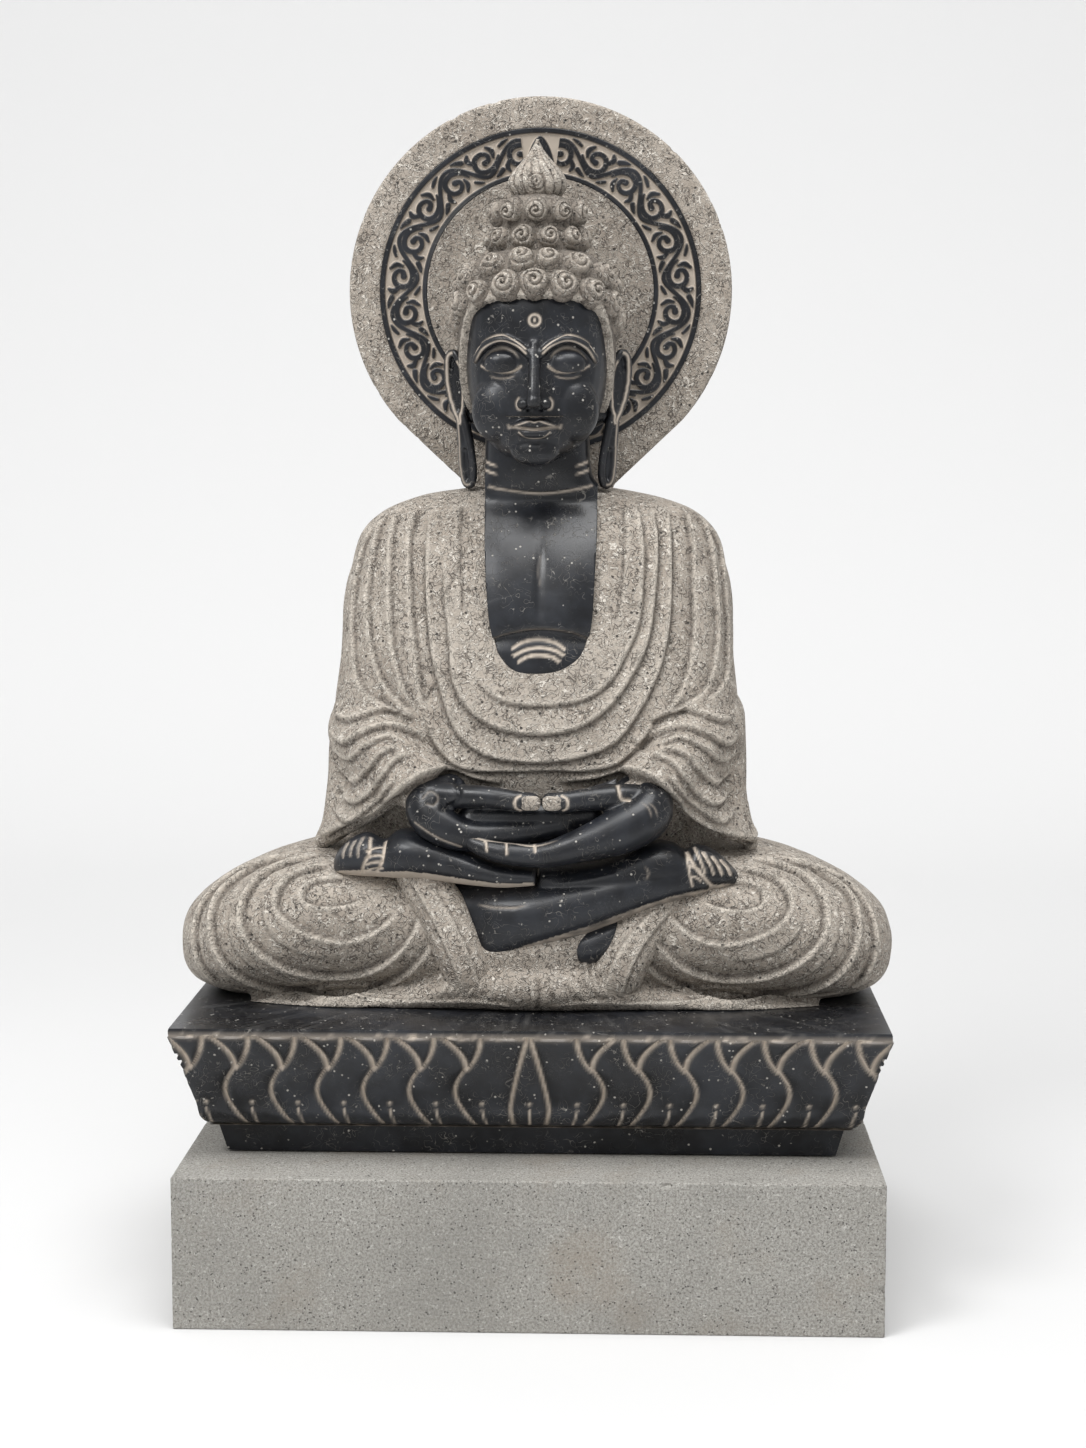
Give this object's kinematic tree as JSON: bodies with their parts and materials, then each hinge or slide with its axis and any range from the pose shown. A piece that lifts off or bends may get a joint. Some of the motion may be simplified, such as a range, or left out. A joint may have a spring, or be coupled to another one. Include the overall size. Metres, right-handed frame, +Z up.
{
  "type": "seated buddha statue",
  "caption": "Seated meditating buddha carved in dark stone, with folded hands, draped robe and a round carved halo, on a lotus pedestal and a plain rectangular plinth.",
  "frame": {"origin": "middle of the plinth's underside", "axes": "+Z up, the figure faces -Y, +X is the figure's own left side"},
  "size_m": [0.742, 0.5, 1.2179],
  "materials": {
    "tooled_basalt": "bush-hammered and chiselled, matt, paler than the polished stone",
    "polished_basalt": "same stone polished to a dark blue-grey gloss",
    "honed_grey_granite": "sawn and finely bush-hammered, matt",
    "stone_adhesive": "cured grey stone adhesive, matt",
    "dowel_steel": "plain turned stainless steel"
  },
  "bodies": {
    "root": {"plinth_block": "honed_grey_granite", "pedestal_bed": "stone_adhesive", "pedestal_dowels": "dowel_steel", "lotus_pedestal": "polished_basalt", "figure_bed": "stone_adhesive", "figure_dowels": "dowel_steel", "robe_lap": "tooled_basalt", "robe_torso": "tooled_basalt", "chest": "polished_basalt", "neck": "polished_basalt", "head": "polished_basalt", "left_ear": "polished_basalt", "right_ear": "polished_basalt", "hair_cap": "tooled_basalt", "hair_curls": "tooled_basalt", "topknot": "tooled_basalt", "flame_jewel": "tooled_basalt", "left_hand": "polished_basalt", "right_hand": "polished_basalt", "right_leg": "polished_basalt", "left_foot": "polished_basalt", "left_shin": "polished_basalt", "halo_slab": "tooled_basalt", "halo_band": "polished_basalt", "halo_bed": "stone_adhesive", "halo_dowel": "dowel_steel"}
  },
  "joints": []
}
